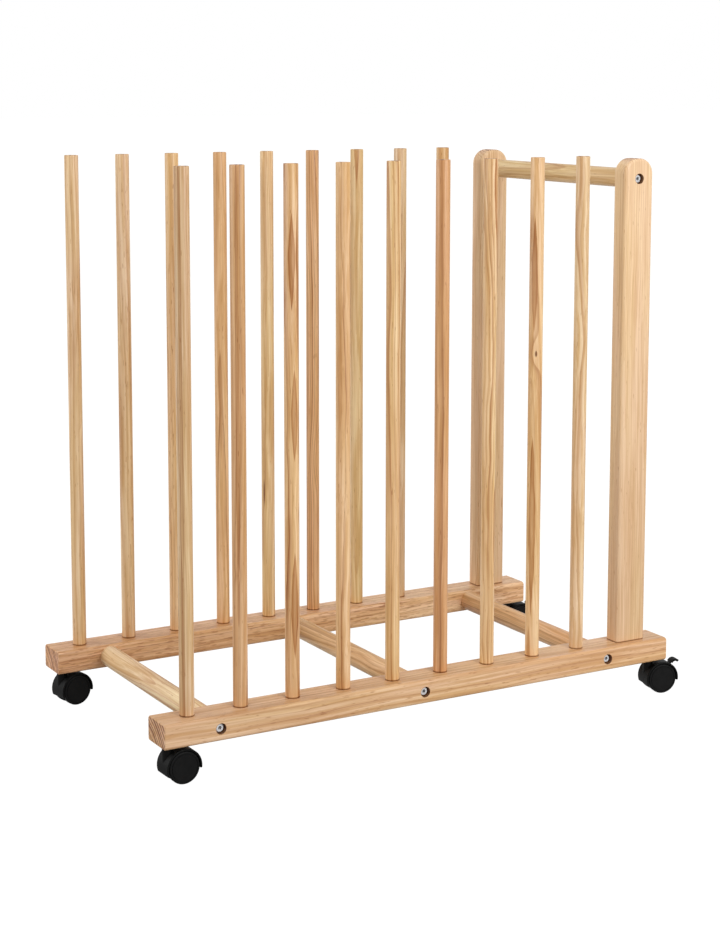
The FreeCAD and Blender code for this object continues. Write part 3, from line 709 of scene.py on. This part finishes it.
def pine(
    name, grain, middle, heart, slant, tone, shade, ring, lines, sway, seed,
    foot=None, knots=(), flames=(), speckle=0.0, streaks=1.0, tone_and_light_drift=None, bolts=(),
):
    """One board's material. ring and sway are in millimetres, and foot is the height of a joint."""
    material, tree, shader = new_material(name)
    coordinates = add(tree, "ShaderNodeTexCoord").outputs
    place = coordinates["Object"]
    in_log = place_in_log(tree, place, grain, middle, heart, slant, seed)
    years, dark = knot_marks(tree, place, grain, knots)
    early_wood, late_wood = TONES[tone]
    sockets = {
        "Place": in_log,
        "Ring Width": ring * MM,
        "Ring Shift": years,
        "Sway": sway * MM,
        "Line Strength": lines,
        "Pale": shaded(early_wood, shade),
        "Late": shaded(late_wood, shade),
        "End Grain": end_grain(tree, coordinates["Normal"], grain),
        "Knot": dark,
        "Flame": flame_marks(tree, place, in_log, grain, flames),
        "Speckle": speckle,
        "Streaks": streaks,
    }
    wood = add(tree, "ShaderNodeGroup", sockets, node_tree=pine_group)
    colour = wood.outputs["Color"]
    if foot is not None:
        # a glue line with painted contact shade where the piece stands on its rail
        colour = stained(tree, joint_glue_and_shade(tree, place, foot), colour, JOINT_GLUE_AND_SHADE)
    # a drift between two stains, partly a change of tone and partly painted light
    if tone_and_light_drift is not None:
        colour = drift_tone_and_light(tree, place, grain, colour, tone_and_light_drift)
    # painted shade on the walls of the bolts' bored holes
    for bolt in bolts:
        inside = near_axis(tree, place, bolt, BORE_RADIUS + BORE_EDGE, BORE_RADIUS)
        colour = stained(tree, inside, colour, BORE_SHADE)
    plug(tree, colour, shader.inputs["Base Color"])
    plug(tree, wood.outputs["Roughness"], shader.inputs["Roughness"])
    press_relief(tree, shader, wood.outputs["Height"], strength=0.6, depth=0.03 * MM)
    for label, value in LACQUER.items():
        shader.inputs[label].default_value = value
    return material


def finish(node, material):
    """Gives a CAD node its material."""
    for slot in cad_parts[node].material_slots:
        slot.material = material


print("lacquer:", LACQUER)

# %% [markdown]
# ## Rails, posts and bars
# These pieces keep the CAD program's own shapes, whose rounded edges and bored holes are already
# right, and only get their wood. The rails were sawn well off the heart of the tree, so their end
# faces show rings that run aslant, and their sides show long straight lines. The posts are calmer
# boards with weaker streaks, and the rear rail is full of flecks.

# %% Wood for the rails, posts and bars
BOARDS = {
    # node: grain, heart, slant, tone, shade, ring width, line strength, sway, seed
    "front_rail": ("X", (-80, -76), (0.3, 0.4), "rosy", 0.96, 5.0, 0.50, 8, 0.0),
    "rear_rail": ("X", (-56, -70), (-0.4, 0.5), "rosy", 0.93, 4.5, 0.60, 8, 1.3),
    "front_post": ("Z", (80, 26), (0.2, 0.3), "pale", 0.98, 3.4, 0.55, 7, 2.1),
    "rear_post": ("Z", (-80, 30), (0.2, -0.2), "pale", 0.97, 3.4, 0.65, 8, 3.7),
    "left_stretcher": ("Y", (24, 26), (1.4, -1.0), "rosy", 1.12, 5.5, 0.75, 12, 4.2),
    "middle_stretcher": ("Y", (-30, 22), (0.8, 1.2), "honey", 0.96, 5.5, 0.60, 14, 5.9),
    "right_stretcher": ("Y", (20, -34), (-1.1, 0.7), "tan", 1.04, 5.0, 0.45, 12, 6.4),
    "crossbar": ("Y", (26, 30), (0.6, -0.9), "honey", 1.10, 4.5, 0.60, 12, 7.7),
}
TONE_AND_LIGHT_DRIFTS = {
    # node: the stain at its low end, and at its high end, each a tone and painted light
    "front_rail": ((0.90, 0.89, 0.86), (1.0, 0.98, 0.95)),
    "rear_rail": ((0.95, 0.86, 0.80), (1.20, 1.24, 1.28)),
    "front_post": ((0.95, 0.94, 0.93), (1.10, 1.12, 1.14)),
}
SPECKLES = {"rear_rail": 1.0, "front_rail": 0.35, "rear_upright_2": 0.3, "rear_upright_3": 0.3}
WEAK_STREAKS = {"front_post": 0.5, "rear_post": 0.5}
# the boards whose bored holes get painted shade
BORED = {"front_rail": RAIL_BOLTS, "rear_rail": RAIL_BOLTS, "front_post": POST_BOLTS, "rear_post": POST_BOLTS}

for node, (grain, heart, slant, tone, shade, ring, lines, sway, seed) in BOARDS.items():
    wood = pine(
        node + "_pine", grain, middle_of(node), heart, slant, tone, shade, ring, lines, sway, seed,
        foot=top_of("front_rail") if node.endswith("_post") else None,
        knots=KNOTS.get(node, ()),
        speckle=SPECKLES.get(node, 0.0),
        streaks=WEAK_STREAKS.get(node, 1.0),
        tone_and_light_drift=TONE_AND_LIGHT_DRIFTS.get(node),
        bolts=BORED.get(node, ()),
    )
    finish(node, wood)
print("boards finished:", len(BOARDS))

# %% [markdown]
# ## Turned uprights
# The eighteen uprights are round dowels, set in blind holes in the rails. A dowel is a lathe piece,
# so the mesh is made as a lathe makes it: one outline, spun round. It is spun in enough steps to stay
# round when seen close, with a small bevel at its flat-cut top. Its side is cut across into a dozen
# bands, so that no face is a sliver as long as the dowel.

# %% Outline and spin of an upright
TURNING_STEPS = 48
LENGTH_STEPS = 12
FOOT_BEVEL = 0.4 * MM
TOP_BEVEL = 0.7 * MM
TOP_BEVEL_ANGLES = (0, 30, 60, 90)


def upright_outline(foot, top, radius):
    """The radius and height of each point from the foot to the top."""
    outline = [(radius - FOOT_BEVEL, foot), (radius, foot + FOOT_BEVEL)]
    straight = (top - TOP_BEVEL) - (foot + FOOT_BEVEL)
    for step in range(1, LENGTH_STEPS):
        outline.append((radius, foot + FOOT_BEVEL + straight * step / LENGTH_STEPS))
    for angle in TOP_BEVEL_ANGLES:
        turn = math.radians(angle)
        inset, drop = TOP_BEVEL * (1 - math.cos(turn)), TOP_BEVEL * (1 - math.sin(turn))
        outline.append((radius - inset, top - drop))
    return outline


def turned_upright(name, axis, foot, top, radius):
    """A closed, round dowel from foot to top."""
    mesh = bmesh.new()
    rings = []
    for ring_radius, height in upright_outline(foot, top, radius):
        ring = []
        for step in range(TURNING_STEPS):
            turn = 2 * math.pi * step / TURNING_STEPS
            x, y = axis.x + ring_radius * math.cos(turn), axis.y + ring_radius * math.sin(turn)
            ring.append(mesh.verts.new((x, y, height)))
        rings.append(ring)
    for lower, upper in zip(rings, rings[1:]):
        for step in range(TURNING_STEPS):
            after = (step + 1) % TURNING_STEPS
            side = mesh.faces.new((lower[step], lower[after], upper[after], upper[step]))
            side.smooth = True
    ends = [mesh.faces.new(list(reversed(rings[0]))), mesh.faces.new(rings[-1])]
    for end in ends:
        for edge in end.edges:
            edge.smooth = False
    data = bpy.data.meshes.new(name)
    mesh.to_mesh(data)
    mesh.free()
    piece = bpy.data.objects.new(name, data)
    bpy.context.scene.collection.objects.link(piece)
    return piece


print("an upright has", TURNING_STEPS, "sides")

# %% [markdown]
# ### Wood for the uprights
# Eighteen dowels from one recipe would look like copies if they shared their values. Each has its own
# line here, chosen as a maker sorts stock: how yellow or red it is, how near to the heart it was cut,
# and how wide and strong its lines are. A dowel cut near the heart shows arches, and one cut far from
# it straight lines.

# %% Eighteen uprights
UPRIGHT_WOOD = {
    # row: tone, shade, heart, slant, ring width, line strength, sway, for uprights 1 to 9
    "front": [
        ("straw", 0.88, (43, -25), (0.3, 0.5), 5.5, 0.65, 9),
        ("tan", 0.89, (-43, 25), (-0.3, -0.6), 6.0, 0.60, 9),
        ("honey", 0.95, (-26, 15), (0.2, 0.1), 11.0, 0.90, 20),
        ("honey", 0.98, (-26, 15), (0.3, 0.4), 10.0, 0.85, 26),
        ("honey", 1.04, (45, 0), (0.1, 0.6), 6.0, 0.80, 10),
        ("ginger", 0.92, (20, -12), (0.1, 0.2), 12.0, 0.60, 8),
        ("honey", 1.06, (-35, 20), (0.1, 0.2), 5.0, 0.95, 20),
        ("honey", 1.02, (25, 7), (-0.8, 2.9), 14.0, 0.60, 7),
        ("straw", 0.96, (-22, 13), (0.2, 0.2), 12.0, 0.60, 24),
    ],
    "rear": [
        ("straw", 1.00, (-43, 25), (0.3, -0.4), 5.0, 0.65, 11),
        ("straw", 0.98, (-40, 0), (0.4, 0.6), 6.0, 0.60, 10),
        ("honey", 1.02, (22, -38), (0.5, 0.3), 5.0, 0.60, 9),
        ("tan", 1.08, (16, 28), (-1.2, 0.7), 7.0, 0.70, 11),
        ("honey", 1.07, (45, 0), (0.5, -0.7), 6.0, 0.60, 10),
        ("tan", 1.00, (26, -15), (0.2, 0.2), 3.6, 1.00, 9),
        ("honey", 1.11, (20, 35), (1.0, -0.6), 8.0, 0.80, 11),
        ("straw", 0.90, (-23, 39), (-0.7, -0.4), 6.0, 0.70, 12),
        ("honey", 0.98, (20, 50), (0.9, -0.9), 7.0, 0.55, 12),
    ],
}
FIRST_SEED = {"front": 0.0, "rear": 20.0}  # how far up the log each row starts, in metres
SEED_STEP = 1.7

for row, boards in UPRIGHT_WOOD.items():
    for number, (tone, shade, heart, slant, ring, lines, sway) in enumerate(boards, 1):
        node = f"{row}_upright_{number}"
        low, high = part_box(node)
        axis = middle_of(node)
        radius = (high[0] - low[0]) / 2
        piece = turned_upright(node + "_turned", axis, low[2], high[2], radius)
        seed = number * SEED_STEP + FIRST_SEED[row]
        wood = pine(
            node + "_pine", "Z", axis, heart, slant, tone, shade, ring, lines, sway, seed,
            foot=top_of(row + "_rail"),
            knots=KNOTS.get(node, ()),
            flames=FLAMES.get(node, ()),
            speckle=SPECKLES.get(node, 0.0),
        )
        piece.data.materials.append(wood)
        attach(piece, "frame")
        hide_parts(node)
print("uprights turned:", sum(len(boards) for boards in UPRIGHT_WOOD.values()))
print("radius of an upright:", round(radius / MM, 2), "mm")

# %% [markdown]
# ## Zinc-plated steel
# Bolts, inserts, stems and axles are steel with bright zinc plating. Plating isn't a mirror: it
# carries fine scratches and a faint cloudiness, which roughness shows better than colour does. The
# hexagon hole in a bolt's head is deep and narrow, and little light finds its way out, so the bolts
# have a plating of their own with painted shade there.

# %% Plated steel
# the last of these is painted shade for the bolts' hexagon holes
BRIGHT_ZINC, CLOUDED_ZINC, HEXAGON_SHADE = tint(244, 244, 245), tint(228, 229, 232), tint(120, 118, 116)
HEXAGON_EDGE, HEXAGON_FULL = 2.3 * MM, 1.7 * MM
ZINC_SHINE, SCRATCHES_DULL, HAZE_DULLS = 0.20, 0.10, 0.06
ZINC_METALLIC = 0.25


def plated_steel(name, hexagons=()):
    """Bright zinc, with painted shade in each bolt's hexagon hole. hexagons lists a point on the axis of each
    bolt's hexagon hole.
    """
    material, tree, shader = new_material(name)
    place = add(tree, "ShaderNodeTexCoord").outputs["Object"]
    haze = patches(tree, place, 2.5, detail=3.0)
    scratch = patches(tree, place, 0.35, start=0.4)
    colour = mixed(tree, haze, BRIGHT_ZINC, CLOUDED_ZINC)
    for bolt in hexagons:
        # painted shade in the hexagon hole
        hole = near_axis(tree, place, bolt, HEXAGON_EDGE, HEXAGON_FULL)
        colour = mixed(tree, hole, colour, HEXAGON_SHADE)
    plug(tree, colour, shader.inputs["Base Color"])
    dullness = maths(tree, "MULTIPLY_ADD", scratch, SCRATCHES_DULL, ZINC_SHINE)
    dullness = maths(tree, "MULTIPLY_ADD", haze, HAZE_DULLS, dullness)
    plug(tree, dullness, shader.inputs["Roughness"])
    press_relief(tree, shader, scratch, strength=0.3, depth=0.01 * MM)
    shader.inputs["Metallic"].default_value = ZINC_METALLIC
    return material


steel = plated_steel("zinc_plate")
steel_words = ("_inserts", "_screws", "_stem", "_axle", "_brake_pivot", "_brake_bar")
steel_nodes = [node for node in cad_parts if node.endswith(steel_words)]
for node in steel_nodes:
    finish(node, steel)
bolt_steel = plated_steel("zinc_bolt", RAIL_BOLTS + POST_BOLTS)
bolt_nodes = [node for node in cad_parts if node.endswith("_bolts")]
for node in bolt_nodes:
    finish(node, bolt_steel)
print("steel nodes:", len(steel_nodes), "and with bolts:", len(bolt_nodes))

# %% [markdown]
# ## Black moulded nylon
# The castors' hoods, brake levers and wheels are moulded in black nylon. The mould's steel is spark
# eroded, which leaves a very fine even texture: the surface is dark and satin, with a soft grey sheen
# where it faces the light. The wheels are a softer and duller grade than the hoods.

# %% Moulded nylon
NYLON_PATCH = 9.0  # the size of its faint cloudiness, in millimetres
TEXTURE_DULLS, PATCHES_DULL = 0.10, 0.05


def moulded_nylon(name, dark, light, rough, grain, shine):
    """Nylon between two tones. grain is the size of the mould's texture in millimetres."""
    material, tree, shader = new_material(name)
    place = add(tree, "ShaderNodeTexCoord").outputs["Object"]
    texture = cloud(tree, place, grain, rough=0.6)
    cloudy = patches(tree, place, NYLON_PATCH)
    plug(tree, mixed(tree, cloudy, dark, light), shader.inputs["Base Color"])
    dullness = maths(tree, "MULTIPLY_ADD", texture, TEXTURE_DULLS, rough - TEXTURE_DULLS / 2)
    dullness = maths(tree, "MULTIPLY_ADD", cloudy, PATCHES_DULL, dullness)
    plug(tree, dullness, shader.inputs["Roughness"])
    press_relief(tree, shader, texture, strength=0.5, depth=0.02 * MM)
    shader.inputs["Specular IOR Level"].default_value = shine
    return material


hood_nylon = moulded_nylon(
    "hood_nylon", tint(13, 13, 13), tint(18, 18, 17), rough=0.46, grain=0.5, shine=0.12
)
wheel_nylon = moulded_nylon(
    "wheel_nylon", tint(15, 15, 15), tint(20, 20, 20), rough=0.5, grain=0.4, shine=0.13
)
nylon_nodes = {"_hood": hood_nylon, "_brake_lever": hood_nylon, "_wheel": wheel_nylon}
dressed = 0
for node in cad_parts:
    for ending, material in nylon_nodes.items():
        if node.endswith(ending):
            finish(node, material)
            dressed += 1
print("nylon nodes:", dressed)
